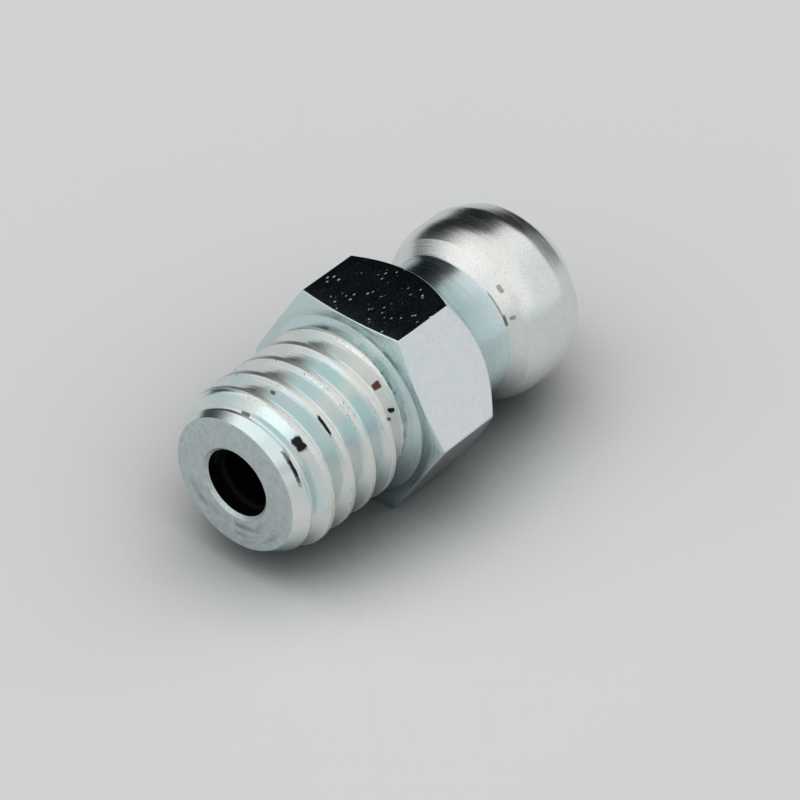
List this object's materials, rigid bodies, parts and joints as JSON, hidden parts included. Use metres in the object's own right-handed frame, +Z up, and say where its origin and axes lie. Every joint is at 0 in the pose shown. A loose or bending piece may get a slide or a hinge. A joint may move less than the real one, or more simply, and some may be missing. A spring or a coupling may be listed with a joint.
{
  "type": "grease nipple",
  "caption": "Straight ball-check grease nipple: a hexagon between a metric threaded shank and a necked barrel head, with a sprung ball in its through passage.",
  "frame": {"origin": "on the nipple's axis, in the plane of the hexagon's sealing face on the thread side", "axes": "+X along the axis from the threaded end to the head, +Z up and square to the hexagon flat that the nipple lies on"},
  "size_m": [0.0153, 0.008, 0.007],
  "materials": {
    "zinc_plated_steel": "bright zinc plating with a pale blue passivation, fine turning and rolling marks",
    "ball_steel": "ground and polished",
    "spring_steel": "drawn wire, dark and lightly oiled"
  },
  "bodies": {
    "nipple": {"nipple_body": "zinc_plated_steel", "check_spring": "spring_steel"},
    "ball": {"check_ball": "ball_steel"}
  },
  "joints": [
    {"name": "ball_slide", "type": "slide", "parent": "nipple", "child": "ball", "axis": [-1, 0, 0], "range_m": [0, 0.0008], "stiffness_N_per_m": 150, "springref_m": -0.002, "deforming": ["check_spring"]}
  ]
}
